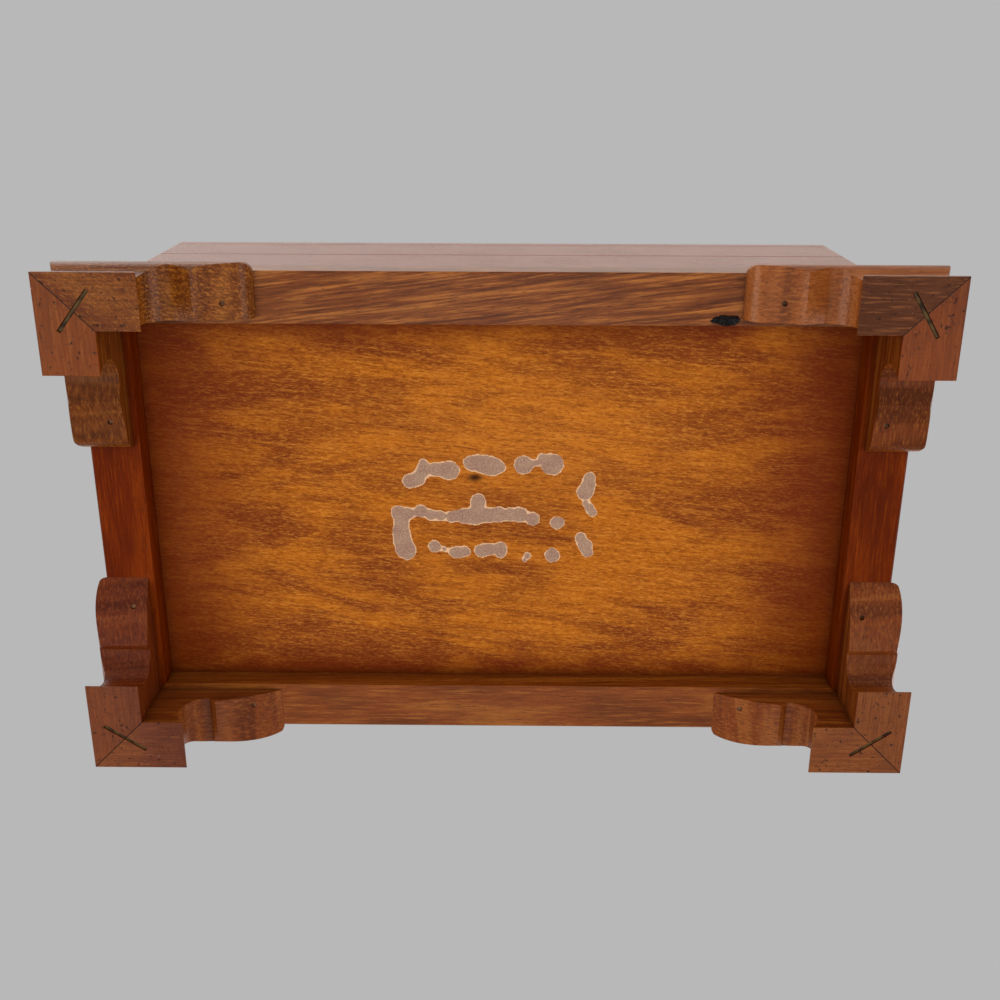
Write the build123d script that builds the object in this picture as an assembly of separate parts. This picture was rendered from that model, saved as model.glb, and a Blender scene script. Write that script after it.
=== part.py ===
"""Keepsake box: a hinged, felt-lined wooden box on four mitred ogee bracket feet.

Millimetres, +Z up, front towards -Y. The origin is on the ground, at the middle of the four pads.
"""
from build123d import *
import os

os.makedirs("parts", exist_ok=True)

# Overall sizes
foot_span_x = 350.0
foot_span_y = 214.8
box_height = 163.0
lid_depth = 41.0

# Feet: two brackets each, cut from one ogee moulding
foot_height = 29.0
foot_stock = 22.3
pad_length = 39.7
wing_length = 77.5
wing_corner_radius = 5.0
toe_height = 1.8
foot_neck_inset = 1.8
foot_bulge = 0.2
foot_bulge_drop = 4.5
foot_turn_inset = 1.3
foot_turn_drop = 10.0

# Scroll under a wing: how far its points lie past the pad's end, and how far below the rail. A hollow
# bites into the pad, a lip runs on from it to a cusp, and a tail runs from the cusp to the wing's end. The
# front feet were sawn with a longer lip and a rounder tail than the back ones.
scroll_start_height = 0.6
hollow_middle = (-4.1, 19.2)
hollow_end = (6.8, 8.1)
front_lip_middle = (10.8, 9.2)
front_cusp = (15.3, 10.9)
front_lobe_start = (21.0, 8.6)
front_lobe_middle = (27.0, 7.3)
front_lobe_end = (33.5, 5.9)
back_cusp = (9.8, 10.6)
back_tail_middle = (25.3, 5.8)

# Metal keys across the foot mitres, set a little crooked by hand
key_length = 20.0
key_thickness = 1.3
key_depth = 9.0
key_sunk = 0.5
key_kerf_clearance = 0.2
key_from_corner = 14.6
key_angles = {"front_left": -52.0, "front_right": 58.0, "back_left": 34.0, "back_right": -36.0}

# Nails that hold each wing to its rail, set by hand: distance from the corner, distance from the outer
# face, first for the wing along the front or back and then for the wing along the side
nail_places = {
    "front_left": ((66.0, 15.6), (64.5, 16.4)),
    "front_right": ((63.0, 14.5), (64.2, 17.2)),
    "back_left": ((65.5, 17.6), (66.0, 16.3)),
    "back_right": ((66.5, 17.4), (63.5, 17.2)),
}
front_nail_cover = 6.6
back_nail_cover = 5.0
nail_length = 16.0
nail_radius = 0.7
nail_head_radius = 1.1
nail_head_thickness = 0.8
nail_clearance = 0.05

# Base moulding and the panel let into it
rail_inset = 4.0
rail_width = 21.1
rail_round_radius = 4.4
moulding_projection = 7.5
panel_recess = 11.4
panel_thickness = 6.0
panel_bearing = 7.0
rail_arris = 0.8

# Box and lid walls
wall_thickness = 12.0
lid_top_thickness = 9.0
corner_radius = 3.0
lid_edge_radius = 2.5
seam_gap = 0.3

# Felt lining
felt_thickness = 1.2
lining_reveal = 6.0

# Butt hinges let into the back
hinge_length = 38.0
hinge_from_side = 45.0
leaf_width = 9.5
leaf_thickness = 1.5
barrel_radius = 2.5
barrel_clearance = 0.3
knuckle_count = 5
knuckle_gap = 0.3
pin_radius = 1.2
pin_seat_clearance = 0.02
pin_running_clearance = 0.05
pin_head_radius = 2.1
pin_head_thickness = 0.9
mortise_clearance = 0.1

# Hinge screws
screws_per_leaf = 3
screw_from_leaf_end = 6.5
screw_length = 10.0
screw_radius = 1.0
screw_head_radius = 2.0
screw_head_height = 1.1
screw_point_length = 2.0
screw_point_radius = 0.15
screw_slot_width = 0.5
screw_slot_depth = 0.5
screw_clearance = 0.03

# Levels above the ground
panel_bottom = foot_height + panel_recess
rail_top = panel_bottom + panel_thickness
seam_height = box_height - lid_depth
wall_top = seam_height - seam_gap / 2
lid_bottom = seam_height + seam_gap / 2
lid_sides_top = box_height - lid_top_thickness

# Plan sizes
rail_outer_x = foot_span_x - 2 * rail_inset
rail_outer_y = foot_span_y - 2 * rail_inset
body_x = rail_outer_x - 2 * moulding_projection
body_y = rail_outer_y - 2 * moulding_projection
inner_x = body_x - 2 * wall_thickness
inner_y = body_y - 2 * wall_thickness
panel_x = rail_outer_x - 2 * (rail_width - panel_bearing)
panel_y = rail_outer_y - 2 * (rail_width - panel_bearing)
hinge_axis_y = body_y / 2 + barrel_radius + barrel_clearance
hinge_x = body_x / 2 - hinge_from_side - hinge_length / 2
hinge_places = {"left": -1, "right": 1}

# Where the back walls' outer face and a lower leaf's upper face lie, seen from the pin's axis
wall_back = -barrel_radius - barrel_clearance
leaf_top = -seam_gap / 2

side_turns = {"front": 0, "right": 90, "back": 180, "left": -90}
corner_signs = {"front_left": (-1, -1), "front_right": (1, -1), "back_left": (-1, 1), "back_right": (1, 1)}


def side_sizes(side, outer_x, outer_y):
    """The length of one side of a rectangle, and how far it lies from the middle."""
    if side in ("front", "back"):
        return outer_x, outer_y / 2
    return outer_y, outer_x / 2


def mitred_side(side, profile, outer_x, outer_y, width):
    """A frame side: the profile's X runs inwards from the outer face, and the ends are cut at 45 degrees."""
    length, from_middle = side_sizes(side, outer_x, outer_y)
    end = length / 2
    bar = extrude(Plane.YZ * profile, amount=end, both=True)
    plan = Polygon((-end, 0), (end, 0), (end - width, width), (width - end, width), align=None)
    bar = bar & extrude(plan, amount=box_height)
    return Rot(0, 0, side_turns[side]) * Pos(0, -from_middle, 0) * bar


def wall_side(side, bottom, top):
    """One mitred wall, with its share of the two rounded corners."""
    profile = Pos(wall_thickness / 2, (bottom + top) / 2) * Rectangle(wall_thickness, top - bottom)
    outline = extrude(RectangleRounded(body_x, body_y, corner_radius), amount=box_height)
    return mitred_side(side, profile, body_x, body_y, wall_thickness) & outline


def rail_side(side):
    """One side of the base moulding, with the rabbet that the panel drops into."""
    rabbet = rail_width - panel_bearing
    outline = Polygon(
        (0, foot_height + rail_arris), (rail_arris, foot_height), (rail_width, foot_height),
        (rail_width, panel_bottom), (rabbet, panel_bottom), (rabbet, rail_top), (0, rail_top), align=None,
    )
    outer_edge = outline.vertices().sort_by_distance((0, rail_top, 0))[0]
    profile = fillet(outer_edge, rail_round_radius)
    return mitred_side(side, profile, rail_outer_x, rail_outer_y, rail_width)


def scroll_point(point):
    return pad_length + point[0], foot_height - point[1]


def bracket(lip_points, tail_points):
    """Half a foot: outer corner at the origin, wing along +X, outer face towards -Y."""
    bulge = ThreePointArc(
        (foot_neck_inset, foot_height),
        (-foot_bulge, foot_height - foot_bulge_drop),
        (foot_turn_inset, foot_height - foot_turn_drop),
    )
    waist = TangentArc(bulge @ 1, (0, toe_height), tangent=bulge % 1)
    rest = Polyline((0, toe_height), (0, 0), (foot_stock, 0), (foot_stock, foot_height), bulge @ 0)
    bar = extrude(Plane.YZ * make_face(bulge + waist + rest), amount=wing_length, both=True)

    scroll_start = (pad_length, scroll_start_height)
    wing_end = (wing_length, foot_height)
    hollow = ThreePointArc(scroll_start, scroll_point(hollow_middle), scroll_point(hollow_end))
    lip = Spline(*[scroll_point(point) for point in (hollow_end, *lip_points)])
    tail = Spline(*[scroll_point(point) for point in (lip_points[-1], *tail_points)], wing_end)
    rest = Polyline(wing_end, (-foot_stock, foot_height), (-foot_stock, 0), (pad_length, 0), scroll_start)
    scroll = extrude(Plane.XZ * make_face(hollow + lip + tail + rest), amount=2 * foot_stock, both=True)

    half = Polygon(
        (-2 * foot_bulge, -2 * foot_bulge), (wing_length, -2 * foot_bulge), (wing_length, foot_stock),
        (foot_stock, foot_stock), align=None,
    )
    plan = extrude(half, amount=foot_height)
    turned_edge = plan.edges().filter_by(Axis.Z).sort_by_distance((wing_length, -2 * foot_bulge, 0))[0]
    plan = fillet(turned_edge, wing_corner_radius)
    return bar & scroll & plan


def nail_parts(clearance=0.0, sunk=0.0):
    """A nail, head down at z = 0, or the hole for it, which runs on down by the sunk length."""
    head = extrude(Circle(nail_head_radius + clearance), amount=nail_head_thickness)
    if sunk:
        head += extrude(Circle(nail_head_radius + clearance), amount=-sunk)
    return head + extrude(Circle(nail_radius + clearance), amount=nail_length)


def screw_shape(clearance=0.0):
    """A countersunk screw, head up at z = 0, or the hole for it."""
    shank = screw_length - screw_head_height - screw_point_length
    head_bottom = -screw_head_height
    radius = screw_radius + clearance
    head = Pos(0, 0, head_bottom / 2) * Cone(radius, screw_head_radius + clearance, screw_head_height)
    stem = Pos(0, 0, head_bottom - shank / 2) * Cylinder(radius, shank)
    point_middle = -screw_length + screw_point_length / 2
    point = Pos(0, 0, point_middle) * Cone(screw_point_radius + clearance, radius, screw_point_length)
    return head + stem + point


def screw():
    slot = Pos(0, 0, -screw_slot_depth / 2) * Box(2 * screw_head_radius, screw_slot_width, screw_slot_depth)
    return screw_shape() - slot


def leaf(own_knuckles, bore_clearance):
    """A hinge leaf that lies below the pin's axis, which is X through the origin."""
    middle_y = wall_back - leaf_width / 2
    middle_z = leaf_top - leaf_thickness / 2
    plate = Pos(0, middle_y, middle_z) * Box(hinge_length, leaf_width, leaf_thickness)
    pitch = hinge_length / knuckle_count
    for index in own_knuckles:
        middle = (index + 0.5) * pitch - hinge_length / 2
        width = pitch - knuckle_gap
        plate += Pos(middle, wall_back / 2, middle_z) * Box(width, -wall_back, leaf_thickness)
        plate += Pos(middle, 0, 0) * Rot(0, 90, 0) * Cylinder(barrel_radius, width)
    plate -= Rot(0, 90, 0) * Cylinder(pin_radius + bore_clearance, hinge_length)
    for spot in leaf_screw_places():
        plate -= spot * screw_shape(screw_clearance)
    return plate


def screw_offsets():
    first = screw_from_leaf_end - hinge_length / 2
    spacing = -2 * first / (screws_per_leaf - 1)
    return [first + index * spacing for index in range(screws_per_leaf)]


def hinge_pin():
    outer_knuckle_end = hinge_length / 2 - knuckle_gap / 2
    pin = Rot(0, 90, 0) * Cylinder(pin_radius, 2 * outer_knuckle_end)
    for end in (-1, 1):
        middle = end * (outer_knuckle_end + pin_head_thickness / 2)
        pin += Pos(middle, 0, 0) * Rot(0, 90, 0) * Cylinder(pin_head_radius, pin_head_thickness)
    return pin


def mortise():
    """What is cut from the back wall's top edge for one lower leaf, about the pin's axis."""
    length = hinge_length + 2 * mortise_clearance
    depth = leaf_width + mortise_clearance
    return Pos(0, wall_back - depth / 2, leaf_top - leaf_thickness / 2) * Box(length, depth, leaf_thickness)


def leaf_screw_places():
    return [Pos(offset, wall_back - leaf_width / 2, leaf_top) for offset in screw_offsets()]


def upside_down(shape):
    """The same shape above the pin's axis instead of below it."""
    return mirror(shape, about=Plane.XY)


def felt_sheet(size_x, size_y, size_z, x, y, bottom):
    return Pos(x, y, bottom + size_z / 2) * Box(size_x, size_y, size_z)


pieces = {}

# Feet
half_feet = {
    "front": bracket(
        [front_lip_middle, front_cusp], [front_lobe_start, front_lobe_middle, front_lobe_end]
    ),
    "back": bracket([back_cusp], [back_tail_middle]),
}
across_corner = Plane(origin=(0, 0, 0), z_dir=(1, -1, 0))
key_places = {}
nails = []
nail_holes = []
for corner, (sign_x, sign_y) in corner_signs.items():
    middle = (sign_x * (foot_span_x / 2 - key_from_corner), sign_y * (foot_span_y / 2 - key_from_corner))
    key_places[corner] = Pos(middle[0], middle[1], 0) * Rot(0, 0, key_angles[corner])
    (end_along, end_in), (side_along, side_in) = nail_places[corner]
    head_height = foot_height - (front_nail_cover if sign_y < 0 else back_nail_cover)
    for x, y in (
        (foot_span_x / 2 - end_along, foot_span_y / 2 - end_in),
        (foot_span_x / 2 - side_in, foot_span_y / 2 - side_along),
    ):
        place = Pos(sign_x * x, sign_y * y, head_height)
        nails.append(place * nail_parts())
        nail_holes.append(place * nail_parts(nail_clearance, head_height))

for corner, (sign_x, sign_y) in corner_signs.items():
    kerf_length = key_length + 2 * key_kerf_clearance
    kerf_width = key_thickness + 2 * key_kerf_clearance
    kerf_depth = key_sunk + key_depth
    kerf = key_places[corner] * Pos(0, 0, kerf_depth / 2) * Box(kerf_length, kerf_width, kerf_depth)
    end_name = "front" if sign_y < 0 else "back"
    half_foot = half_feet[end_name]
    for wing, half in ((end_name, half_foot), ("side", mirror(half_foot, about=across_corner))):
        if sign_x > 0:
            half = mirror(half, about=Plane.YZ)
        if sign_y > 0:
            half = mirror(half, about=Plane.XZ)
        half = Pos(sign_x * foot_span_x / 2, sign_y * foot_span_y / 2, 0) * half
        half -= kerf
        for hole in nail_holes:
            half -= hole
        pieces[f"{corner}_foot_{wing}"] = half

key = Pos(0, 0, key_sunk + key_depth / 2) * Box(key_length, key_thickness, key_depth)
pieces["mitre_keys"] = Compound([place * key for place in key_places.values()])
pieces["foot_nails"] = Compound(nails)

# Base moulding, panel and box walls
for side in side_turns:
    rail = rail_side(side)
    for hole in nail_holes:
        rail -= hole
    pieces[f"base_rail_{side}"] = rail
    pieces[f"wall_{side}"] = wall_side(side, rail_top, wall_top)
    pieces[f"lid_{side}"] = wall_side(side, lid_bottom, lid_sides_top)
panel_middle = panel_bottom + panel_thickness / 2
pieces["bottom_panel"] = Pos(0, 0, panel_middle) * Box(panel_x, panel_y, panel_thickness)

# Lid top, rounded over on its upper edge
outline = RectangleRounded(body_x, body_y, corner_radius)
board = Pos(0, 0, lid_sides_top) * extrude(outline, amount=lid_top_thickness)
pieces["lid_top"] = fillet(board.edges().group_by(Axis.Z)[-1], lid_edge_radius)

# Hinges
box_screws = []
lid_screws = []
for name, sign in hinge_places.items():
    place = Pos(sign * hinge_x, hinge_axis_y, seam_height)
    lower = leaf(range(0, knuckle_count, 2), pin_seat_clearance)
    upper = upside_down(leaf(range(1, knuckle_count, 2), pin_running_clearance))
    pieces[f"{name}_hinge_lower_leaf"] = place * lower
    pieces[f"{name}_hinge_upper_leaf"] = place * upper
    pieces[f"{name}_hinge_pin"] = place * hinge_pin()
    pieces["wall_back"] -= place * mortise()
    pieces["lid_back"] -= place * upside_down(mortise())
    for spot in leaf_screw_places():
        box_screws.append(place * spot * screw())
        lid_screws.append(place * upside_down(spot * screw()))
        pieces["wall_back"] -= place * spot * screw_shape(screw_clearance)
        pieces["lid_back"] -= place * upside_down(spot * screw_shape(screw_clearance))
pieces["box_hinge_screws"] = Compound(box_screws)
pieces["lid_hinge_screws"] = Compound(lid_screws)

# Felt lining
lining_bottom = rail_top + felt_thickness
lining_height = wall_top - lining_reveal - lining_bottom
pieces["floor_lining"] = felt_sheet(inner_x, inner_y, felt_thickness, 0, 0, rail_top)
for name, sign in {"front": -1, "back": 1}.items():
    y = sign * (inner_y - felt_thickness) / 2
    pieces[f"lining_{name}"] = felt_sheet(inner_x, felt_thickness, lining_height, 0, y, lining_bottom)
for name, sign in {"left": -1, "right": 1}.items():
    x = sign * (inner_x - felt_thickness) / 2
    side_length = inner_y - 2 * felt_thickness
    pieces[f"lining_{name}"] = felt_sheet(felt_thickness, side_length, lining_height, x, 0, lining_bottom)
pieces["lid_lining"] = felt_sheet(inner_x, inner_y, felt_thickness, 0, 0, lid_sides_top - felt_thickness)

for name, piece in pieces.items():
    export_step(piece, f"parts/{name}.step")
    print(f"{name}: {piece.volume:.1f} mm3")
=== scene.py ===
# %% [markdown]
# A keepsake box on bracket feet, seen from below, as it looks when it is tipped back to show its underside.
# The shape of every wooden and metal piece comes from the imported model. This script adds the finishes, the
# felt, and the marks that years of use left on the underside.

import math

import bmesh
import bpy
from mathutils import Matrix, Vector, noise


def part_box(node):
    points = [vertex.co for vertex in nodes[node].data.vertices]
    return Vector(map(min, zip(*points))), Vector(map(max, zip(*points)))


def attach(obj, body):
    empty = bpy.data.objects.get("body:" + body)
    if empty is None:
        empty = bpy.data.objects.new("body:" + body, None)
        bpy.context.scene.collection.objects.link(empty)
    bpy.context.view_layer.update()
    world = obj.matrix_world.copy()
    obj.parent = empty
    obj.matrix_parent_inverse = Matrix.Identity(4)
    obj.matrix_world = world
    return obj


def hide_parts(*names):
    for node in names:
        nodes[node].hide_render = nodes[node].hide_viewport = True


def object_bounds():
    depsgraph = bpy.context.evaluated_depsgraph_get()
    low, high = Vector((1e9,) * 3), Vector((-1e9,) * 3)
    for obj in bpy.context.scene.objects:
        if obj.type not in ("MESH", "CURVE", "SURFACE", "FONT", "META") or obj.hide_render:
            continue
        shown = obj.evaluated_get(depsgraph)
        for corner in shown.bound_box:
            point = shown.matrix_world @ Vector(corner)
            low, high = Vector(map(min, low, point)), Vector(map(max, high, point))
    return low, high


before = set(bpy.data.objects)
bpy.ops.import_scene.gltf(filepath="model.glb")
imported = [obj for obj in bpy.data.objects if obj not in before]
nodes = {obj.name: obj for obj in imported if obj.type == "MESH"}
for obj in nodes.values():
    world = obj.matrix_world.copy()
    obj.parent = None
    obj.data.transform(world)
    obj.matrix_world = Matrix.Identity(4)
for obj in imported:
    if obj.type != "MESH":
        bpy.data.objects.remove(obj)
MM = 0.001


def corners(bounds):
    """A box's two corners as plain lists of numbers."""
    low, high = bounds
    return [list(low), list(high)]


cad_bounds = corners(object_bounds())
print("CAD box in metres:", cad_bounds)

# %% [markdown]
# The photograph looks up at the underside from a little in front of the box and less than half a metre
# below it. The lens, place and turn of the camera were worked out from the corners of the four foot pads
# and the edges of the base moulding, so the picture lines up with the real one.

# %% Camera
FOCAL_PIXELS = 1170.3
FRAME_PIXELS = 1000
SENSOR_WIDTH = 36.0
CAMERA_PLACE = (4.13 * MM, -180.68 * MM, -436.1 * MM)
CAMERA_TURN = (159.546, -0.499, -0.199)

lens = bpy.data.cameras.new("photograph_view")
lens.sensor_width = SENSOR_WIDTH
lens.lens = SENSOR_WIDTH * FOCAL_PIXELS / FRAME_PIXELS
lens.clip_start = 5 * MM
camera = bpy.data.objects.new("photograph_view", lens)
camera.location = CAMERA_PLACE
camera.rotation_euler = [math.radians(angle) for angle in CAMERA_TURN]
bpy.context.scene.collection.objects.link(camera)
bpy.context.scene.camera = camera
bpy.context.scene.view_settings.view_transform = "Standard"
print("lens in millimetres:", round(lens.lens, 2))

# %% [markdown]
# Colours are written as the hex codes that a colour picker shows, and Blender's shaders want linear light,
# so one function turns one into the other. A second function adds a node to a material, sets it and links
# it. The rest say how a finish is built up: a mask tells where a pattern shows, a shade is laid over a
# colour where masks let it through, and patterns are heaped on each other to make relief or gloss.


# %% Colour and node helpers
def linear(hex_code):
    """An sRGB hex colour as linear red, green, blue and full alpha."""
    channels = []
    for start in (1, 3, 5):
        value = int(hex_code[start:start + 2], 16) / 255
        channels.append(value / 12.92 if value <= 0.04045 else ((value + 0.055) / 1.055) ** 2.4)
    return (*channels, 1.0)


def add_node(tree, kind, settings=None, inputs=None):
    """Adds one node: settings are its properties, and inputs are values, hex colours or other outputs."""
    node = tree.nodes.new(kind)
    for name, value in (settings or {}).items():
        setattr(node, name, value)
    for socket, value in (inputs or {}).items():
        if isinstance(value, bpy.types.NodeSocket):
            tree.links.new(value, node.inputs[socket])
        else:
            node.inputs[socket].default_value = linear(value) if isinstance(value, str) else value
    return node


def start_material(name):
    """A new material with a bare shader in it, ready for its finish."""
    material = bpy.data.materials.new(name)
    material.use_nodes = True
    tree = material.node_tree
    tree.nodes.clear()
    shader = add_node(tree, "ShaderNodeBsdfPrincipled")
    add_node(tree, "ShaderNodeOutputMaterial", inputs={"Surface": shader.outputs["BSDF"]})
    return material, tree, shader


def mask(tree, pattern, low, high, *within):
    """0 where a pattern is before low, 1 past high and smooth between, times every mask in within."""
    shown = add_node(
        tree, "ShaderNodeMapRange", {"interpolation_type": "SMOOTHSTEP"},
        {"Value": pattern, "From Min": low, "From Max": high},
    ).outputs["Result"]
    for other in within:
        shown = add_node(tree, "ShaderNodeMath", {"operation": "MULTIPLY"}, {0: shown, 1: other}).outputs[0]
    return shown


def shaded(tree, colour, shade, strength, shown):
    """Lays a shade over a colour, by strength where the mask is 1."""
    factor = add_node(tree, "ShaderNodeMath", {"operation": "MULTIPLY"}, {0: shown, 1: strength})
    return add_node(
        tree, "ShaderNodeMix", {"data_type": "RGBA"}, {0: factor.outputs[0], 6: colour, 7: shade},
    ).outputs[2]


def heaped(tree, parts, base=0.0):
    """The sum of patterns, each times its own amount, on a base."""
    total = base
    for pattern, amount in parts:
        total = add_node(
            tree, "ShaderNodeMath", {"operation": "MULTIPLY_ADD"}, {0: pattern, 1: amount, 2: total},
        ).outputs[0]
    return total


# %% [markdown]
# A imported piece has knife-sharp edges, and no worked board has those: plane, sandpaper and lacquer leave
# every arris slightly round, and that thin rounding is what catches the light. So each wooden piece is
# copied, its loose triangles are joined into one skin, and its sharp edges are bevelled. The new faces also
# get a mark, which the finish reads to wear the lacquer thin there.

# %% Eased copies of the wooden pieces
ARRIS_WIDTH = 0.45 * MM
SHARP_EDGE = math.radians(32)
COPLANAR = math.radians(0.6)
SAME_PLACE = 0.002 * MM


def body_name(node_name):
    """The lid carries its own boards, leaves and screws, and the box carries the rest."""
    return "lid" if node_name.startswith("lid_") or "upper_leaf" in node_name else "box"


def new_piece(work, name):
    """Turns a finished bmesh into an object of that name, at the origin."""
    mesh = bpy.data.meshes.new(name)
    work.to_mesh(mesh)
    work.free()
    piece = bpy.data.objects.new(name, mesh)
    bpy.context.scene.collection.objects.link(piece)
    return piece


def eased_copy(name):
    """A copy of an imported board with its arrises rounded, which rides with the board's body and stands in
    its place.
    """
    work = bmesh.new()
    work.from_mesh(nodes[name].data)
    bmesh.ops.remove_doubles(work, verts=work.verts, dist=SAME_PLACE)
    bmesh.ops.dissolve_limit(work, angle_limit=COPLANAR, verts=work.verts, edges=work.edges)
    angles = {edge: edge.calc_face_angle(0) for edge in work.edges}
    for face in work.faces:
        face.smooth = any(COPLANAR < angles[edge] < SHARP_EDGE for edge in face.edges)
    sharp = [edge for edge, angle in angles.items() if angle >= SHARP_EDGE]
    made = bmesh.ops.bevel(
        work, geom=sharp, offset=ARRIS_WIDTH, offset_type="OFFSET", segments=2, profile=0.5, affect="EDGES",
        clamp_overlap=True, material=-1,
    )
    arris = work.loops.layers.float.new("arris")
    strips = set(made["faces"])
    for face in strips:
        face.smooth = True
        for corner in face.loops:
            corner[arris] = 1.0
    for edge in work.edges:
        if len({face in strips for face in edge.link_faces}) == 2:
            edge.smooth = False
    board = new_piece(work, f"eased_{name}")
    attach(board, body_name(name))
    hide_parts(name)
    return board


# %% [markdown]
# Wood is drawn in layers, each sized from the real thing. Growth layers of a few millimetres cross the
# board, so a flat face shows broad bands and a curved foot shows them as stripes. Fine streaks come from
# the fibres, and short dark dashes from the pores. All are the same noise, stretched along the grain by
# different lengths. Object coordinates carry the pattern through the solid, so it meets at the edges of a
# board as real grain does. The pores are drawn about twice as wide as real ones, so that they show from a
# camera this far away.

# %% Wood patterns
LAYER_SIZE = (110 * MM, 13 * MM, 2.2 * MM)
FOOT_LAYERS = (300 * MM, 90 * MM, 2.4 * MM)
RAIL_LAYERS = (48 * MM, 2.6 * MM, 2.6 * MM)
STREAK_SIZE = (20 * MM, 0.9 * MM, 0.9 * MM)
PORE_SIZE = (4 * MM, 0.4 * MM, 0.4 * MM)
BLOTCH_SIZE = (22 * MM, 22 * MM, 22 * MM)
GRAIN_TURNS = {"x": 0, "y": 90}


def grain_coordinates(tree, axis, seed, tilt=0.0):
    """Object coordinates turned so that X runs along the grain, and moved so that no two boards match."""
    place = [math.sin(seed * step) for step in (1.0, 2.3, 3.1)]
    turn = [math.radians(angle) for angle in (2 * place[0], 3 * place[1], GRAIN_TURNS[axis] + tilt)]
    coordinates = add_node(tree, "ShaderNodeTexCoord").outputs["Object"]
    return add_node(
        tree, "ShaderNodeMapping", {"vector_type": "POINT"},
        {"Vector": coordinates, "Location": place, "Rotation": turn},
    ).outputs["Vector"]


def stretched_noise(tree, coordinates, size, detail=4.0, roughness=0.55, distortion=0.0):
    """Noise whose features are as long, wide and thick as size says, in metres."""
    squeeze = [1 / length for length in size]
    vector = add_node(tree, "ShaderNodeMapping", inputs={"Vector": coordinates, "Scale": squeeze})
    return add_node(tree, "ShaderNodeTexNoise", inputs={
        "Vector": vector.outputs["Vector"], "Scale": 1.0, "Detail": detail, "Roughness": roughness,
        "Distortion": distortion,
    }).outputs["Fac"]


def corner_shade_mask(tree, reach):
    """1 in corners that the open air hardly reaches, and 0 on open faces: where painted shade is laid."""
    open_air = add_node(tree, "ShaderNodeAmbientOcclusion", {"samples": 6}, {"Distance": reach})
    return mask(tree, open_air.outputs["AO"], 0.90, 0.40)


print("grain layers in millimetres:", [round(length / MM, 1) for length in LAYER_SIZE])

# %% [markdown]
# The soles of the feet have stood on tables for years. There the lacquer is dull, dented and flecked with
# pale specks, fine saw marks cross the grain, and dirt has drawn the mitre between the two halves of a foot
# as a dark line. All of it is kept to the lowest millimetre by a mask on the height above the ground.

# %% Worn soles
SOLE_DEPTH = (1.2 * MM, 0.3 * MM)
MITRE_OFFSET = cad_bounds[1][0] - cad_bounds[1][1]
MITRE_LINE = (0.45 * MM, 0.2 * MM)
DENT_SIZE = (2.6 * MM, 2.0 * MM, 2.0 * MM)
SPECK_SIZE = (0.9 * MM, 0.8 * MM, 0.8 * MM)
SAW_MARK_SIZE = (0.7 * MM, 14 * MM, 2 * MM)
DIRT = "#1E0D07"
PALE_SPECK = "#C8B29C"


def object_place(tree):
    """A point's own X, Y and Z on the object."""
    coordinates = add_node(tree, "ShaderNodeTexCoord").outputs["Object"]
    return add_node(tree, "ShaderNodeSeparateXYZ", inputs={"Vector": coordinates}).outputs


def mitre_distance(tree):
    """How far a point on a foot lies from the joint between its two halves, measured along a side."""
    place = object_place(tree)
    along, across = [
        add_node(tree, "ShaderNodeMath", {"operation": "ABSOLUTE"}, {0: place[letter]}).outputs[0]
        for letter in "XY"
    ]
    off_mitre = heaped(tree, [(along, 1.0), (across, -1.0)], -MITRE_OFFSET)
    return add_node(tree, "ShaderNodeMath", {"operation": "ABSOLUTE"}, {0: off_mitre}).outputs[0]


def worn_sole(tree, coordinates, colour, dark, sole_tone, sole):
    """The colour of a foot with its sole worn, and the mask of the dents in it."""
    dents = stretched_noise(tree, coordinates, DENT_SIZE, detail=4.0, roughness=0.65)
    specks = stretched_noise(tree, coordinates, SPECK_SIZE, detail=3.0)
    saw_marks = stretched_noise(tree, coordinates, SAW_MARK_SIZE, detail=3.0, distortion=0.3)
    dented = mask(tree, dents, 0.60, 0.68, sole)
    colour = shaded(tree, colour, sole_tone, 0.35, sole)
    colour = shaded(tree, colour, DIRT, 0.8, dented)
    colour = shaded(tree, colour, dark, 0.5, mask(tree, saw_marks, 0.60, 0.74, sole))
    colour = shaded(tree, colour, PALE_SPECK, 0.9, mask(tree, specks, 0.73, 0.77, sole))
    colour = shaded(tree, colour, DIRT, 0.85, mask(tree, mitre_distance(tree), *MITRE_LINE, sole))
    return colour, dented


print("the mitres lie where X is longer than Y by", round(MITRE_OFFSET / MM, 1), "millimetres")

# %% [markdown]
# The feet, moulding and walls are mahogany, stained red-brown and lacquered. Lacquer over stained wood
# gives a satin sheen, so the shader has a roughness of about 0.4 and a thin coat where a finish doesn't ask
# for more polish. Boards differ, so each finish has its own tone, a darker and a lighter streak and its own
# place in the pattern. A board may be pebbled, as curly grain is when it has swollen and shrunk again. Its
# pebbles are bumped, and they also get a painted highlight on their tops and painted shade between them.

# %% Stained mahogany
CORNER_SHADE_REACH = 4 * MM
PEBBLE_SIZE = (1.7 * MM, 0.7 * MM, 0.7 * MM)
PEBBLE_TILT = -32.0
# The colour of the painted shade laid in the corners of the wood.
PAINTED_CORNER_SHADE = "#2C0F05"
BLOTCH_DULLING = 0.18
SOLE_DULLING = 0.12
DENT_RELIEF = -1.6


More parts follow.
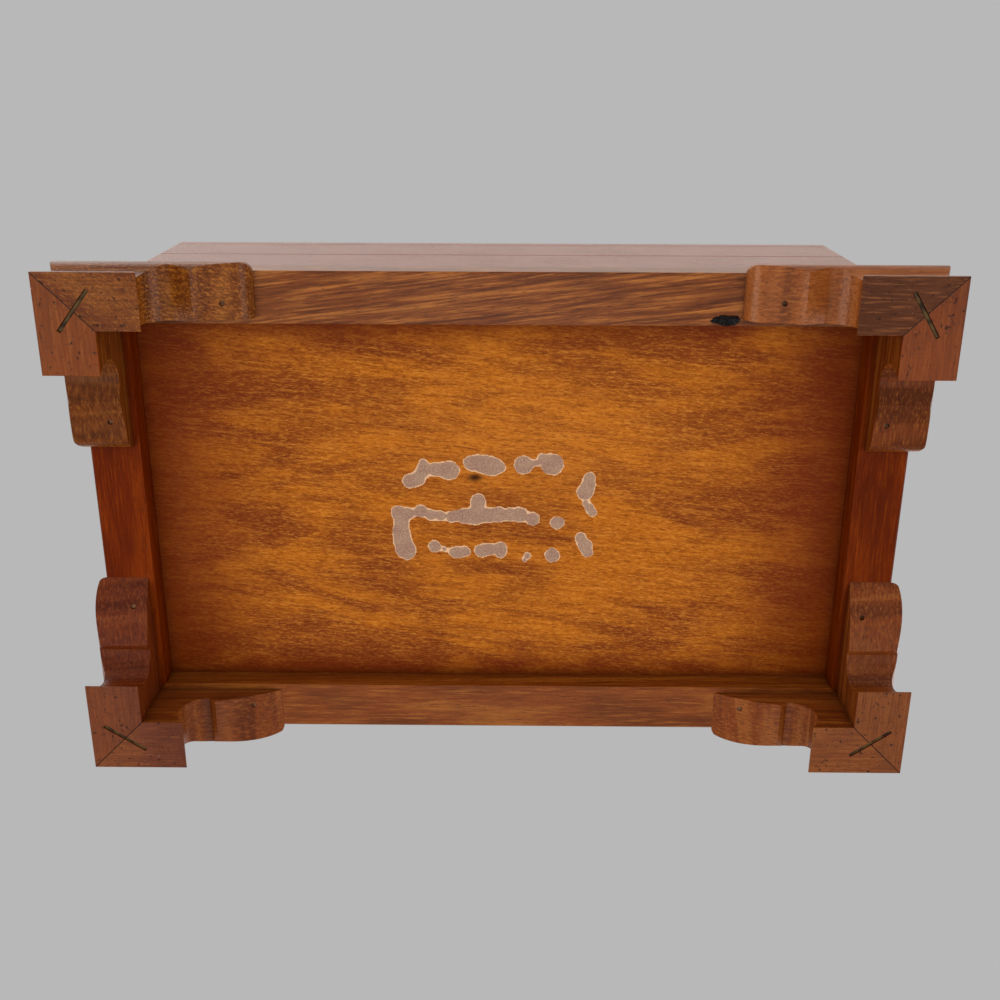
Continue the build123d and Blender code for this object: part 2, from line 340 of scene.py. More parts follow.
def stained_mahogany(name, tone, dark, light, axis="x", seed=1.0, tilt=0.0, layer_size=LAYER_SIZE,
                     figure=1.0, pebbled=0.0, sole_tone=None, wear=0.5, corner_shade=0.45, roughness=0.42,
                     sheen=0.4, coat=0.2):
    """Mahogany under lacquer: figure is how strongly its grain shows, and wear how bare its arrises are."""
    material, tree, shader = start_material(name)
    coordinates = grain_coordinates(tree, axis, seed, tilt)
    layers = stretched_noise(tree, coordinates, layer_size, detail=2.0, distortion=0.35)
    streaks = stretched_noise(tree, coordinates, STREAK_SIZE, detail=5.0, roughness=0.65)
    pores = mask(tree, stretched_noise(tree, coordinates, PORE_SIZE, detail=2.0), 0.57, 0.68)
    blotches = stretched_noise(tree, coordinates, BLOTCH_SIZE, detail=3.0)
    arris = add_node(tree, "ShaderNodeAttribute", {"attribute_name": "arris"}).outputs["Fac"]
    relief = [(streaks, 0.5), (pores, -0.5)]
    dulling = [(blotches, BLOTCH_DULLING)]

    colour = tone
    if sole_tone:
        sole = mask(tree, object_place(tree)["Z"], *SOLE_DEPTH)
        colour = shaded(tree, colour, sole_tone, 0.75, sole)
    colour = shaded(tree, colour, dark, 0.60 * figure, mask(tree, layers, 0.50, 0.66))
    colour = shaded(tree, colour, light, 0.50 * figure, mask(tree, layers, 0.48, 0.34))
    colour = shaded(tree, colour, light, 0.60 * figure, mask(tree, streaks, 0.50, 0.68))
    colour = shaded(tree, colour, dark, 0.55 * figure, mask(tree, streaks, 0.50, 0.34))
    colour = shaded(tree, colour, dark, 0.15, mask(tree, blotches, 0.50, 0.75))
    colour = shaded(tree, colour, dark, 0.6, pores)
    colour = shaded(tree, colour, light, wear, mask(tree, blotches, 0.36, 0.60, arris))
    if pebbled:
        slant = grain_coordinates(tree, axis, seed, PEBBLE_TILT)
        pebbles = stretched_noise(tree, slant, PEBBLE_SIZE, detail=2.0, distortion=0.8)
        relief.append((pebbles, pebbled))
        # Painted light on the pebbles: shade between them and a highlight on their tops.
        colour = shaded(tree, colour, dark, 0.45, mask(tree, pebbles, 0.50, 0.38))
        colour = shaded(tree, colour, light, 0.45, mask(tree, pebbles, 0.54, 0.66))
    if sole_tone:
        colour, dented = worn_sole(tree, coordinates, colour, dark, sole_tone, sole)
        relief.append((dented, DENT_RELIEF))
        dulling.append((sole, SOLE_DULLING))
    # Painted shade: the wood is darkened in corners that the open air hardly reaches.
    colour = shaded(tree, colour, PAINTED_CORNER_SHADE, corner_shade, corner_shade_mask(tree, CORNER_SHADE_REACH))
    tree.links.new(colour, shader.inputs["Base Color"])

    bump = add_node(tree, "ShaderNodeBump", inputs={
        "Strength": 0.4, "Distance": 0.25 * MM, "Height": heaped(tree, relief),
    })
    tree.links.new(bump.outputs["Normal"], shader.inputs["Normal"])
    tree.links.new(heaped(tree, dulling, roughness - BLOTCH_DULLING / 2), shader.inputs["Roughness"])
    shader.inputs["IOR"].default_value = 1.5
    shader.inputs["Specular IOR Level"].default_value = sheen
    shader.inputs["Coat Weight"].default_value = coat
    shader.inputs["Coat Roughness"].default_value = 0.3
    return material


def finish_board(name, material):
    """Eases a wooden piece and gives it its finish."""
    board = eased_copy(name)
    board.data.materials.clear()
    board.data.materials.append(material)
    print(name, "faces:", len(board.data.polygons))


def finish_node(name, material):
    """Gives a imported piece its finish."""
    for slot in nodes[name].material_slots:
        slot.material = material
    print(name, "is finished in", material.name)


# %% [markdown]
# Each foot is two boards, mitred at the corner, and no two of the eight match. The scroll cuts through thin
# flat layers, which come out as stripes across it. The front left foot's front board has the pebbled skin.

# %% Feet
# Grain axis, place in the pattern, tone, darker and lighter streaks, and the tone of the sole.
FOOT_FINISHES = {
    "front_left_foot_front": ("x", 1.1, "#783A08", "#4A2002", "#B67022", "#6C2E00"),
    "front_left_foot_side": ("y", 2.4, "#6A3208", "#3E1B04", "#94581C", "#944400"),
    "front_right_foot_front": ("x", 3.7, "#904C1C", "#582A10", "#AC6630", "#401800"),
    "front_right_foot_side": ("y", 4.2, "#6E3008", "#461C04", "#96541A", "#803800"),
    "back_left_foot_back": ("x", 5.9, "#783810", "#4E2008", "#98561E", "#6A3420"),
    "back_left_foot_side": ("y", 6.3, "#6A2A0A", "#461604", "#8A4416", "#6C361C"),
    "back_right_foot_back": ("x", 7.8, "#7C3A10", "#522206", "#9E5C22", "#7A4018"),
    "back_right_foot_side": ("y", 8.5, "#76360E", "#4C1F06", "#965420", "#7A4018"),
}
PEBBLED_FEET = {"front_left_foot_front": 3.0}
for name, (axis, seed, tone, dark, light, sole_tone) in FOOT_FINISHES.items():
    foot_wood = stained_mahogany(
        f"stained_mahogany_{name}", tone, dark, light, axis, seed, layer_size=FOOT_LAYERS,
        pebbled=PEBBLED_FEET.get(name, 0.0), sole_tone=sole_tone, roughness=0.3, sheen=0.2, coat=0.3,
    )
    finish_board(name, foot_wood)

# %% [markdown]
# The moulding was run off in lengths and mitred round the box. The front length has the liveliest grain,
# which climbs at a slant, and the most lacquer. The side lengths are darker and nearly without gloss.

# %% Base moulding
RAIL_FINISHES = {
    "base_rail_front": dict(tone="#7C3C0A", dark="#461C04", light="#C07428", axis="x", seed=11.0, tilt=7.0,
                            layer_size=RAIL_LAYERS, figure=0.9, sheen=0.1, coat=0.9),
    "base_rail_back": dict(tone="#803D0C", dark="#5C2806", light="#A2601C", axis="x", seed=12.0, sheen=0.2),
    "base_rail_left": dict(tone="#641F00", dark="#4E1600", light="#823400", axis="y", seed=13.0,
                           sheen=0.05, coat=0.0),
    "base_rail_right": dict(tone="#622000", dark="#4C1600", light="#803400", axis="y", seed=14.0,
                            sheen=0.05, coat=0.0),
}
for name, finish in RAIL_FINISHES.items():
    finish_board(name, stained_mahogany(f"stained_mahogany_{name}", **finish))

# %% [markdown]
# The walls were rubbed down and polished more than the base, so they are smoother. Only a little painted
# shade is laid in their corners.
# The lid was sawn off the finished box, so each of its sides has the same board as the wall below it, and
# the grain runs on over the joint.

# %% Walls and lid
WALL_AXES = {"front": "x", "back": "x", "left": "y", "right": "y"}
WALL_SEED = 20.0
TOP_SEED = 31.0
POLISHED = dict(tone="#823414", dark="#541E0C", light="#984A22", figure=0.6, wear=0.3, corner_shade=0.1,
                roughness=0.26, coat=0.6)
for index, (side, axis) in enumerate(WALL_AXES.items()):
    wall = stained_mahogany(f"polished_mahogany_{side}", axis=axis, seed=WALL_SEED + index, **POLISHED)
    finish_board(f"wall_{side}", wall)
    finish_board(f"lid_{side}", wall)
top = stained_mahogany("polished_mahogany_top", axis="x", seed=TOP_SEED, **POLISHED)
finish_board("lid_top", top)

# %% [markdown]
# The bottom panel is plywood. Its face veneer was peeled from a turning log, so its figure is broad and
# drifts at a slant, with short fine flecks. The stain is more orange than on the mahogany. It is palest a
# little in front of the middle and darkest towards the moulding.

# %% Stained plywood
panel_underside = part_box("bottom_panel")[0][2]
OPENING_HALF = (149.9 * MM, 82.3 * MM)
EDGE_FADE = (70 * MM, 18 * MM)
EDGE_RAGGED = 30 * MM
EDGE_OVERRUN = 4 * MM
PALE_MIDDLE = (12 * MM, -32 * MM, 0)
PALE_REACH = (110 * MM, 48 * MM, 1000 * MM)
KNOT_PLACE = (-10.2 * MM, -13.2 * MM, 40.4 * MM)
KNOT_REACH = (4.4 * MM, 2.5 * MM, 9 * MM)
VENEER_TILT = -5.0
VENEER_SEED = 40.0
WAVE_SIZE = (95 * MM, 22 * MM, 22 * MM)
VENEER_STREAK_SIZE = (20 * MM, 1.5 * MM, 1.5 * MM)
FLECK_SIZE = (2.6 * MM, 0.6 * MM, 0.6 * MM)
STAIN_BLOTCH_SIZE = (48 * MM, 34 * MM, 34 * MM)
PANEL_CORNER_SHADE_REACH = 6 * MM


def oval_distance(tree, middle, reach):
    """0 at the middle of an oval and 1 on its rim, in object coordinates."""
    away = add_node(tree, "ShaderNodeTexCoord").outputs["Object"]
    for operation, amount in (("SUBTRACT", middle), ("DIVIDE", reach)):
        step = add_node(tree, "ShaderNodeVectorMath", {"operation": operation}, {0: away, 1: amount})
        away = step.outputs[0]
    return add_node(tree, "ShaderNodeVectorMath", {"operation": "LENGTH"}, {0: away}).outputs["Value"]


def darker_edge(tree, blotches):
    """1 along the moulding and 0 in the open, with an edge that is ragged by the blotches."""
    place = object_place(tree)
    sides = []
    for letter, half, fade in zip("XY", OPENING_HALF, EDGE_FADE):
        out = add_node(tree, "ShaderNodeMath", {"operation": "ABSOLUTE"}, {0: place[letter]}).outputs[0]
        ragged = heaped(tree, [(out, 1.0), (blotches, EDGE_RAGGED)], -EDGE_RAGGED / 2)
        sides.append(mask(tree, ragged, half - fade, half + EDGE_OVERRUN))
    return add_node(tree, "ShaderNodeMath", {"operation": "MAXIMUM"}, {0: sides[0], 1: sides[1]}).outputs[0]


def stained_plywood(name):
    """Orange-brown stain, rubbed thin over a peeled veneer, with hardly any gloss left."""
    material, tree, shader = start_material(name)
    coordinates = grain_coordinates(tree, "x", VENEER_SEED, VENEER_TILT)
    waves = stretched_noise(tree, coordinates, WAVE_SIZE, detail=4.0, distortion=1.6)
    streaks = stretched_noise(tree, coordinates, VENEER_STREAK_SIZE, detail=7.0, roughness=0.72,
                              distortion=0.4)
    flecks = stretched_noise(tree, coordinates, FLECK_SIZE, detail=4.0, roughness=0.75, distortion=0.5)
    blotches = stretched_noise(tree, coordinates, STAIN_BLOTCH_SIZE, detail=5.0, roughness=0.6)
    knot = heaped(tree, [(flecks, 0.8)], oval_distance(tree, KNOT_PLACE, KNOT_REACH))
    pale = mask(tree, oval_distance(tree, PALE_MIDDLE, PALE_REACH), 1.0, 0.0)

    colour = shaded(tree, "#B0600F", "#843D0C", 1.0, mask(tree, waves, 0.40, 0.62))
    colour = shaded(tree, colour, "#7A340C", 0.7, mask(tree, blotches, 0.42, 0.66))
    colour = shaded(tree, colour, "#C8741F", 0.55, pale)
    colour = shaded(tree, colour, "#CC7C26", 0.45, mask(tree, streaks, 0.50, 0.64))
    colour = shaded(tree, colour, "#682C04", 0.45, mask(tree, streaks, 0.49, 0.36))
    colour = shaded(tree, colour, "#5C2404", 0.55, mask(tree, flecks, 0.51, 0.64))
    colour = shaded(tree, colour, "#D68C34", 0.50, mask(tree, flecks, 0.49, 0.36))
    colour = shaded(tree, colour, "#661E00", 0.84, darker_edge(tree, blotches))
    colour = shaded(tree, colour, "#1E0B03", 0.9, mask(tree, knot, 1.5, 0.5))
    # Painted shade: the panel is darkened in the corners of its recess, along the moulding.
    colour = shaded(tree, colour, "#3A1402", 0.4, corner_shade_mask(tree, PANEL_CORNER_SHADE_REACH))
    tree.links.new(colour, shader.inputs["Base Color"])

    bump = add_node(tree, "ShaderNodeBump", inputs={
        "Strength": 0.25, "Distance": 0.2 * MM, "Height": heaped(tree, [(streaks, 0.6), (flecks, 1.0)]),
    })
    tree.links.new(bump.outputs["Normal"], shader.inputs["Normal"])
    tree.links.new(heaped(tree, [(blotches, 0.2)], 0.42), shader.inputs["Roughness"])
    shader.inputs["IOR"].default_value = 1.5
    shader.inputs["Specular IOR Level"].default_value = 0.08
    return material


finish_node("bottom_panel", stained_plywood("stained_plywood"))

# %% [markdown]
# Something flat was once glued to the panel. Its glue stayed behind as thin, putty-coloured patches with
# a paler rim where it ran out and dried. Each patch is described by a few discs that overlap, each given
# by its place from the panel's middle and its radius, in millimetres. A fine grid is cut away outside them,
# its border is smoothed, and its height follows the distance from that border.

# %% Old glue
GLUE_PATCHES = {
    "front_left": [(-38.5, -11.4, 3.5), (-35.0, -12.6, 3.7), (-32.1, -16.8, 3.5), (-32.6, -20.0, 1.8),
                   (-27.5, -16.8, 3.3), (-23.9, -16.8, 3.6), (-20.9, -16.3, 4.5)],
    "front_middle": [(-11.8, -19.8, 3.7), (-9.0, -19.8, 3.9), (-5.4, -19.1, 4.6), (-2.5, -18.3, 4.5),
                     (1.0, -17.9, 2.3)],
    "front_pair": [(10.7, -19.1, 4.5), (16.0, -20.2, 1.8), (18.9, -22.1, 2.6), (23.1, -19.4, 5.2)],
    "right_front": [(39.2, -13.3, 3.0), (38.8, -9.9, 3.3), (37.4, -6.8, 4.0), (37.7, -1.9, 1.5),
                    (39.5, 0.4, 2.4), (41.0, 2.7, 2.1)],
    "long_bar": [(-43.9, 3.1, 3.5), (-39.3, 3.5, 3.1), (-33.9, 2.3, 3.1), (-29.6, 4.2, 2.9),
                 (-25.4, 4.6, 2.8), (-20.4, 5.0, 2.9), (-15.4, 4.6, 3.8), (-10.4, 4.6, 4.5),
                 (-5.4, 4.2, 3.8), (-0.4, 3.8, 4.0), (4.6, 3.8, 3.5), (9.2, 3.8, 3.8), (14.9, 5.7, 3.5),
                 (-8.9, -1.2, 3.3), (-8.8, -2.7, 3.4), (-42.5, 7.7, 3.6), (-42.8, 12.2, 4.2),
                 (-42.1, 16.8, 4.5), (-41.0, 20.6, 4.7), (-40.0, 22.3, 3.3)],
    "back_left": [(-28.2, 19.1, 3.2), (-23.8, 20.2, 1.4), (-20.0, 21.8, 2.5), (-17.5, 21.8, 3.0),
                  (-14.7, 21.4, 2.7)],
    "back_middle": [(-7.5, 21.0, 3.5), (-4.0, 20.2, 3.3), (1.0, 19.5, 3.0), (1.0, 22.1, 2.7)],
    "back_crumb": [(12.8, 23.3, 1.9), (11.4, 25.3, 1.2)],
    "back_dot": [(23.8, 22.9, 3.7)],
    "bar_dot": [(25.6, 7.6, 3.4)],
    "right_back": [(36.0, 14.5, 2.8), (38.1, 18.3, 3.6), (39.2, 21.4, 2.8)],
}
GLUE_CELL = 0.4 * MM
OUTLINE_SLACK = 0.3 * GLUE_CELL
GLUE_FILM = 0.12 * MM
GLUE_RIM = 0.26 * MM
GLUE_FLOW = 0.7 * MM
RIM_WIDTH = 1.4 * MM
RAGGED_BY = 0.4 * MM
RAGGED_STEP = 2.3 * MM
BURIED = 0.02 * MM


def inside_discs(place, discs):
    """How far a point lies inside the outline of the discs, which flow into each other, in metres."""
    ragged = RAGGED_BY * noise.noise(Vector((place.x, place.y, 0)) / RAGGED_STEP)
    depths = [radius * MM - math.hypot(place.x - x * MM, place.y - y * MM) for x, y, radius in discs]
    return ragged + GLUE_FLOW * math.log(sum(math.exp(depth / GLUE_FLOW) for depth in depths))


def glue_patch(name, discs, material):
    """A film of glue under the panel, thicker at its rim, whose border is buried in the wood."""
    lows = [min(disc[axis] - disc[2] for disc in discs) * MM - 2 * GLUE_CELL for axis in (0, 1)]
    highs = [max(disc[axis] + disc[2] for disc in discs) * MM + 2 * GLUE_CELL for axis in (0, 1)]
    spans = [high - low for low, high in zip(lows, highs)]
    place = Matrix.Translation([(low + high) / 2 for low, high in zip(lows, highs)] + [0])
    work = bmesh.new()
    bmesh.ops.create_grid(
        work, x_segments=round(spans[0] / GLUE_CELL), y_segments=round(spans[1] / GLUE_CELL), size=0.5,
        matrix=place @ Matrix.Diagonal((*spans, 1, 1)),
    )
    outside = [vert for vert in work.verts if inside_discs(vert.co, discs) < -OUTLINE_SLACK]
    bmesh.ops.delete(work, geom=outside, context="VERTS")
    border = [vert for vert in work.verts if vert.is_boundary]
    bmesh.ops.smooth_vert(work, verts=border, factor=0.5, use_axis_x=True, use_axis_y=True, use_axis_z=False)
    rim = work.verts.layers.float.new("rim")
    for vert in work.verts:
        depth = inside_discs(vert.co, discs)
        vert[rim] = min(1.0, max(0.0, 1 - depth / RIM_WIDTH))
        thickness = -BURIED if vert.is_boundary else GLUE_FILM + (GLUE_RIM - GLUE_FILM) * vert[rim]
        vert.co.z = panel_underside - thickness
    bmesh.ops.recalc_face_normals(work, faces=work.faces)
    if sum(face.normal.z for face in work.faces) > 0:
        bmesh.ops.reverse_faces(work, faces=work.faces)
    for face in work.faces:
        face.smooth = True
    patch = new_piece(work, f"glue_{name}")
    patch.data.materials.append(material)
    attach(patch, "box")
    print(patch.name, "faces:", len(patch.data.polygons))


# %% [markdown]
# Dried hide glue is dull and putty-coloured, with grit and wood dust stuck in it. The rim, which was marked
# while the patch was made, is paler and broken here and there.

# %% Old glue's finish
GRIT_SIZE = (0.7 * MM, 0.6 * MM, 0.6 * MM)
CLOUD_SIZE = (9 * MM, 6 * MM, 6 * MM)


def dried_glue(name):
    """Dull putty-coloured glue, speckled with grit, with a pale rim."""
    material, tree, shader = start_material(name)
    coordinates = add_node(tree, "ShaderNodeTexCoord").outputs["Object"]
    grit = stretched_noise(tree, coordinates, GRIT_SIZE, detail=3.0, roughness=0.7)
    clouds = stretched_noise(tree, coordinates, CLOUD_SIZE, detail=4.0)
    edge = add_node(tree, "ShaderNodeAttribute", {"attribute_name": "rim"}).outputs["Fac"]
    pale_rim = mask(tree, clouds, 0.72, 0.52, mask(tree, edge, 0.44, 0.68))
    colour = shaded(tree, "#A4826A", "#9A7462", 1.0, mask(tree, clouds, 0.35, 0.65))
    colour = shaded(tree, colour, "#7A5040", 0.55, mask(tree, grit, 0.48, 0.34))
    colour = shaded(tree, colour, "#C4A890", 0.50, mask(tree, grit, 0.52, 0.66))
    colour = shaded(tree, colour, "#ECBC90", 0.8, pale_rim)
    tree.links.new(colour, shader.inputs["Base Color"])
    bump = add_node(tree, "ShaderNodeBump", inputs={"Strength": 0.4, "Distance": 0.15 * MM, "Height": grit})
    tree.links.new(bump.outputs["Normal"], shader.inputs["Normal"])
    shader.inputs["Roughness"].default_value = 0.6
    shader.inputs["IOR"].default_value = 1.45
    shader.inputs["Specular IOR Level"].default_value = 0.3
    return material


old_glue = dried_glue("dried_hide_glue")
for name, discs in GLUE_PATCHES.items():
    glue_patch(name, discs, old_glue)

# %% [markdown]
# One dark lump of pitch sits under the front rail, at its inner edge and beside the right foot. It is a
# squashed ball with a lumpy skin, and it is glossy, because pitch sets from a liquid.

# %% Pitch
PITCH_PLACE = Vector((91.4 * MM, -84.6 * MM, 29.0 * MM))
PITCH_REACH = (6.0 * MM, 1.9 * MM, 1.5 * MM)
DUST_SIZE = (1.4 * MM, 1.4 * MM, 1.4 * MM)
# How high the big and the small lumps stand, and how closely they follow each other.
PITCH_LUMPS = ((0.30, 1.7), (0.12, 5.0))


def black_pitch(name):
    """Black, shiny where it is clean and dull where dust has stuck."""
    material, tree, shader = start_material(name)
    coordinates = add_node(tree, "ShaderNodeTexCoord").outputs["Object"]
    dust = stretched_noise(tree, coordinates, DUST_SIZE, detail=4.0)
    colour = shaded(tree, "#0B0A0C", "#2B2624", 1.0, mask(tree, dust, 0.5, 0.75))
    tree.links.new(colour, shader.inputs["Base Color"])
    tree.links.new(heaped(tree, [(dust, 0.4)], 0.1), shader.inputs["Roughness"])
    shader.inputs["IOR"].default_value = 1.55
    return material


work = bmesh.new()
bmesh.ops.create_icosphere(work, subdivisions=5, radius=1.0)
for vert in work.verts:
    lump = 1 + sum(rise * noise.noise(vert.co * pace) for rise, pace in PITCH_LUMPS)
    vert.co = PITCH_PLACE + Vector([part * lump * reach for part, reach in zip(vert.co, PITCH_REACH)])
for face in work.faces:
    face.smooth = True
pitch = new_piece(work, "pitch_lump")
pitch.data.materials.append(black_pitch("black_pitch"))
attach(pitch, "box")
print("pitch_lump faces:", len(pitch.data.polygons))

# %% [markdown]
# The hinges are solid brass, rolled and stamped, and dulled by handling. A bare metal's colour is its
# reflection, so the brass is fully metallic, and its tarnish is a rougher, darker patch. The keys and nails
# are steel that stain and rust have browned, so little of the metal is left bare and they hardly shine. The
# fine scratches are drawn coarser than real ones.

# %% Metals
METAL_CORNER_SHADE_REACH = 1.5 * MM
SCRATCH_SIZE = (6 * MM, 0.12 * MM, 0.12 * MM)
STAMPED_EDGE = 0.2 * MM
# The colour of the painted shade laid in the corners of the metal.
PAINTED_METAL_SHADE = "#1E140A"


def aged_metal(name, bright, tarnish, roughness, patch_size, bare=1.0, corner_shade=0.7):
    """Metal with patches of tarnish: bare is how much of it shows; the last setting darkens its corners as
    painted shade.
    """
    material, tree, shader = start_material(name)
    coordinates = add_node(tree, "ShaderNodeTexCoord").outputs["Object"]
    patches = stretched_noise(tree, coordinates, (patch_size, patch_size, patch_size), detail=5.0)
    scratches = stretched_noise(tree, coordinates, SCRATCH_SIZE, detail=2.0)
    tarnished = mask(tree, patches, 0.40, 0.66)
    colour = shaded(tree, bright, tarnish, 1.0, tarnished)
    # Painted shade: the metal is darkened in corners that the open air hardly reaches.
    colour = shaded(tree, colour, PAINTED_METAL_SHADE, corner_shade, corner_shade_mask(tree, METAL_CORNER_SHADE_REACH))
    tree.links.new(colour, shader.inputs["Base Color"])
    tree.links.new(heaped(tree, [(tarnished, 0.25)], roughness), shader.inputs["Roughness"])
    rounded = add_node(tree, "ShaderNodeBevel", {"samples": 6}, {"Radius": STAMPED_EDGE}).outputs["Normal"]
    bump = add_node(tree, "ShaderNodeBump", inputs={
        "Strength": 0.2, "Distance": 0.03 * MM, "Height": scratches, "Normal": rounded,
    })
    tree.links.new(bump.outputs["Normal"], shader.inputs["Normal"])
    shader.inputs["Metallic"].default_value = bare
    return material


brass = aged_metal("rolled_brass", "#C9A45C", "#86683A", 0.28, 6 * MM)
key_steel = aged_metal("stained_steel", "#6E5228", "#34200F", 0.4, 5 * MM, bare=0.4, corner_shade=0.4)
nail_steel = aged_metal("rusted_nail_steel", "#8E5E3C", "#563420", 0.3, 1.2 * MM, bare=0.3, corner_shade=0.0)
for name in nodes:
    if "hinge" in name:
        finish_node(name, brass)
finish_node("mitre_keys", key_steel)
finish_node("foot_nails", nail_steel)

# %% [markdown]
# The inside is lined with pressed wool felt, glued down. Felt has no weave: it is a mat of short curled
# fibres, so it shows a fine fuzz and no gloss. A faint paler bloom where the nap catches the light is
# painted on as sheen, in broad patches. The fuzz is drawn in tufts of about a millimetre, far coarser than
# single fibres. Each lining is a thin sheet with soft edges that lies where its plain imported solid lies,
# and it rises and falls by a tenth of a millimetre, as a glued sheet does.

# %% Felt linings
FELT_CELL = 4 * MM
FELT_WAVE = 0.12 * MM
FELT_CLEARANCE = 0.15 * MM
FELT_EDGE = 0.3 * MM
FELT_WAVE_STEP = 17 * MM
FIBRE_SIZE = (1.3 * MM, 0.9 * MM, 0.9 * MM)
NAP_SHEEN_SIZE = (45 * MM, 30 * MM, 30 * MM)
# What carries each lining, its thin axis and the way it faces along it.
LININGS = {
    "floor_lining": ("bottom_panel", 2, 1),
    "lining_front": ("wall_front", 1, 1),
    "lining_back": ("wall_back", 1, -1),
    "lining_left": ("wall_left", 0, 1),
    "lining_right": ("wall_right", 0, -1),
    "lid_lining": ("lid_top", 2, -1),
}


def wool_felt(name, body_shade, fuzz_and_sheen_shade):
    """Matted wool: quite dull, with a pale fuzz of loose fibres and a painted sheen in broad paler patches.
    """
    material, tree, shader = start_material(name)
    coordinates = add_node(tree, "ShaderNodeTexCoord").outputs["Object"]
    fibres = stretched_noise(tree, coordinates, FIBRE_SIZE, detail=6.0, roughness=0.8, distortion=1.5)
    painted_nap_sheen = stretched_noise(tree, coordinates, NAP_SHEEN_SIZE, detail=3.0)
    colour = shaded(tree, body_shade, fuzz_and_sheen_shade, 1.0, mask(tree, fibres, 0.35, 0.7))
    # Painted sheen: broad patches of the felt are paler, as where the nap catches the light.
    colour = shaded(tree, colour, fuzz_and_sheen_shade, 0.35, mask(tree, painted_nap_sheen, 0.4, 0.7))
    tree.links.new(colour, shader.inputs["Base Color"])
    bump = add_node(tree, "ShaderNodeBump", inputs={"Strength": 0.6, "Distance": 0.3 * MM, "Height": fibres})
    tree.links.new(bump.outputs["Normal"], shader.inputs["Normal"])
    shader.inputs["Roughness"].default_value = 0.95
    shader.inputs["Sheen Weight"].default_value = 0.4
    shader.inputs["Sheen Roughness"].default_value = 0.5
    return material


def felt_lining(name, axis, outward, material):
    """A sheet of felt in the place of a packed lining: axis is its thin way, and outward where it faces."""
    low, high = (Vector(corner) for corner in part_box(name))
    size = high - low
    middle = (low + high) / 2
    across = [other for other in range(3) if other != axis]
    work = bmesh.new()
    bmesh.ops.create_cube(work, size=1.0)
    trimmed = [size[way] - 2 * FELT_CLEARANCE * (way != axis) for way in range(3)]
    bmesh.ops.scale(work, verts=work.verts, vec=trimmed)
    for way in across:
        cuts = max(1, round(size[way] / FELT_CELL))
        along = [edge for edge in work.edges
                 if abs((edge.verts[1].co - edge.verts[0].co).normalized()[way]) > 0.9]
        bmesh.ops.subdivide_edges(work, edges=along, cuts=cuts, use_grid_fill=True)
    rims = [edge for edge in work.edges if edge.calc_face_angle(0) > SHARP_EDGE]
    bmesh.ops.bevel(work, geom=rims, offset=FELT_EDGE, offset_type="OFFSET", segments=3, profile=0.5,
                    affect="EDGES", clamp_overlap=True, material=-1)
    for vert in work.verts:
        vert.co += middle
        shown = (vert.co[axis] - middle[axis]) * outward / size[axis] + 0.5
        swell = 0.5 + 0.5 * noise.noise(vert.co / FELT_WAVE_STEP)
        vert.co[axis] -= outward * shown * swell * FELT_WAVE
    bmesh.ops.recalc_face_normals(work, faces=work.faces)
    for face in work.faces:
        face.smooth = True
    piece = new_piece(work, f"felt_{name}")
    piece.data.materials.append(material)
    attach(piece, body_name(name))
    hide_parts(name)
    print(piece.name, "flat size in millimetres:", [round(size[way] * 1000, 1) for way in across])


felt = wool_felt("black_wool_felt", "#121113", "#2A282B")
for name, (carrier, axis, outward) in LININGS.items():
    felt_lining(name, axis, outward, felt)

# %% [markdown]
# The floor lies under the feet. The photograph was taken from below, so the floor has to be seen through
# from underneath and must not shade or reflect in the underside. It is made one-sided in its own material,
# and its other rays are switched off on the object.

# %% Floor
FLOOR_HALF = 3.0
sheet = bmesh.new()
bmesh.ops.create_grid(sheet, x_segments=1, y_segments=1, size=FLOOR_HALF)
floor = new_piece(sheet, "studio_floor")
floor.visible_shadow = False
floor.visible_diffuse = False
floor.visible_glossy = False
# Matt studio paper: pale grey from above, and clear from underneath.
paper = bpy.data.materials.new("pale_paper")
paper.use_nodes = True
tree = paper.node_tree
tree.nodes.clear()
matte = add_node(tree, "ShaderNodeBsdfDiffuse", inputs={"Color": "#D6D6D6"})
clear = add_node(tree, "ShaderNodeBsdfTransparent")
back = add_node(tree, "ShaderNodeNewGeometry").outputs["Backfacing"]
one_sided = add_node(tree, "ShaderNodeMixShader", inputs={
    0: back, 1: matte.outputs["BSDF"], 2: clear.outputs["BSDF"]})
add_node(tree, "ShaderNodeOutputMaterial", inputs={"Surface": one_sided.outputs["Shader"]})
floor.data.materials.append(paper)
print("floor in metres:", 2 * FLOOR_HALF)

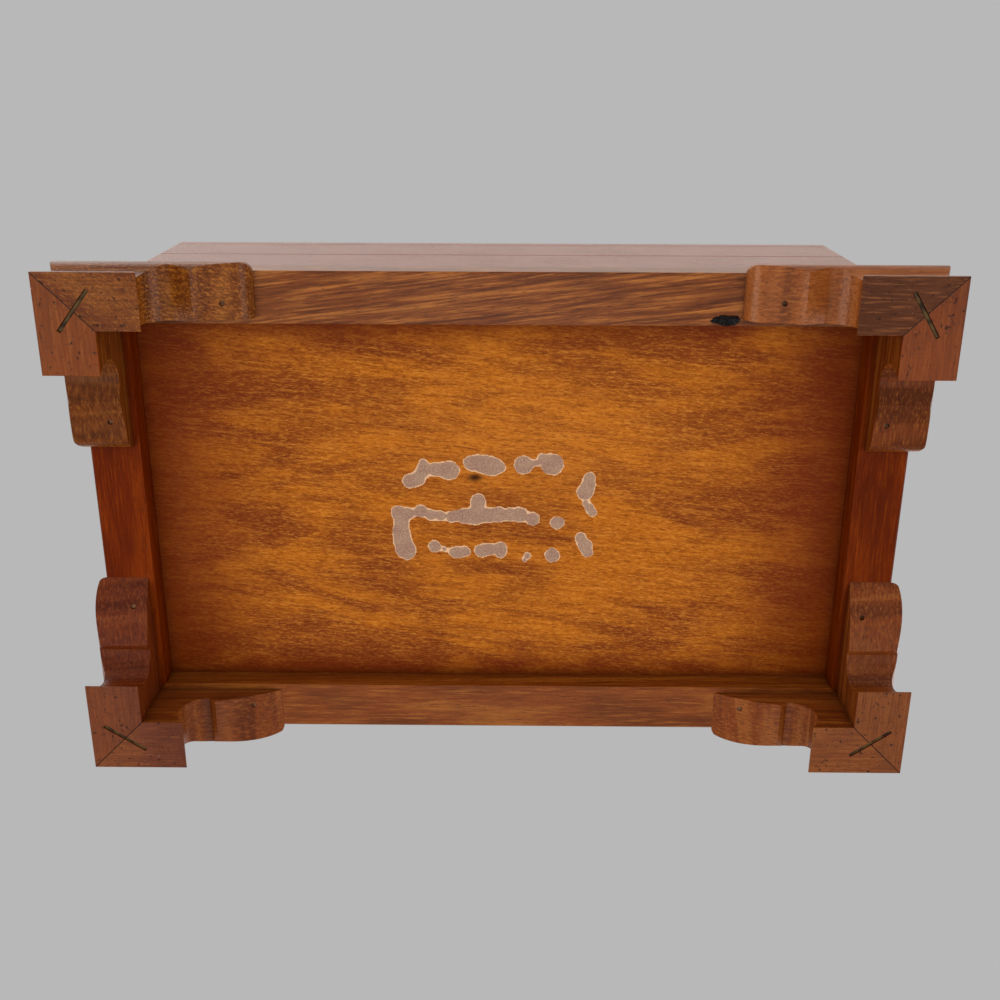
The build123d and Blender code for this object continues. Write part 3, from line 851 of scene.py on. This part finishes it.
# %% [markdown]
# The light has two jobs, so the world answers each kind of ray in its own way. For matt surfaces it is an
# even white, so a colour looks about as it is written. For gloss it is a room: bright above, which gives
# the polished front its pale glare at a low angle, and dim below, which keeps the stained panel deep.

# %% Room and lamps
world = bpy.data.worlds.new("white_room")
bpy.context.scene.world = world
world.use_nodes = True
tree = world.node_tree
tree.nodes.clear()
direction = add_node(tree, "ShaderNodeTexCoord").outputs["Generated"]
up = add_node(tree, "ShaderNodeSeparateXYZ", inputs={"Vector": direction}).outputs["Z"]
reflected = shaded(tree, "#343230", "#DED2CA", 1.0, mask(tree, up, -0.5, 0.9))
path = add_node(tree, "ShaderNodeLightPath").outputs
seen = add_node(tree, "ShaderNodeMath", {"operation": "MAXIMUM"}, {
    0: path["Is Camera Ray"], 1: path["Is Transmission Ray"],
}).outputs[0]
colour = shaded(tree, "#F4F2F0", reflected, 1.0, path["Is Glossy Ray"])
colour = shaded(tree, colour, "#B8B8B8", 1.0, seen)
background = add_node(tree, "ShaderNodeBackground", inputs={"Color": colour, "Strength": 1.0})
add_node(tree, "ShaderNodeOutputWorld", inputs={"Surface": background.outputs["Background"]})


def softbox(name, place, target, width, height, brightness):
    """A large area lamp that faces target, and whose face is brightness times as bright as white paper."""
    light = bpy.data.lights.new(name, "AREA")
    light.shape = "RECTANGLE"
    light.size = width
    light.size_y = height
    light.energy = brightness * math.pi * width * height
    lamp = bpy.data.objects.new(name, light)
    lamp.location = place
    lamp.rotation_euler = (Vector(target) - Vector(place)).to_track_quat("-Z", "Y").to_euler()
    bpy.context.scene.collection.objects.link(lamp)
    print(name, "watts:", round(light.energy, 2))


softbox("window_below", (0.0, 0.45, -1.15), (0, 0, 0.03), 0.4, 0.9, 0.5)
softbox("left_below", (-1.15, 0.25, -0.95), (0, 0, 0.03), 0.5, 0.9, 2.2)
softbox("right_below", (1.15, 0.25, -0.95), (0, 0, 0.03), 0.5, 0.9, 2.2)
softbox("key_above", (-0.9, -1.1, 1.3), (0, 0, 0.08), 1.0, 1.0, 1.6)
softbox("fill_above", (1.2, 0.9, 1.0), (0, 0, 0.08), 1.0, 1.0, 0.8)
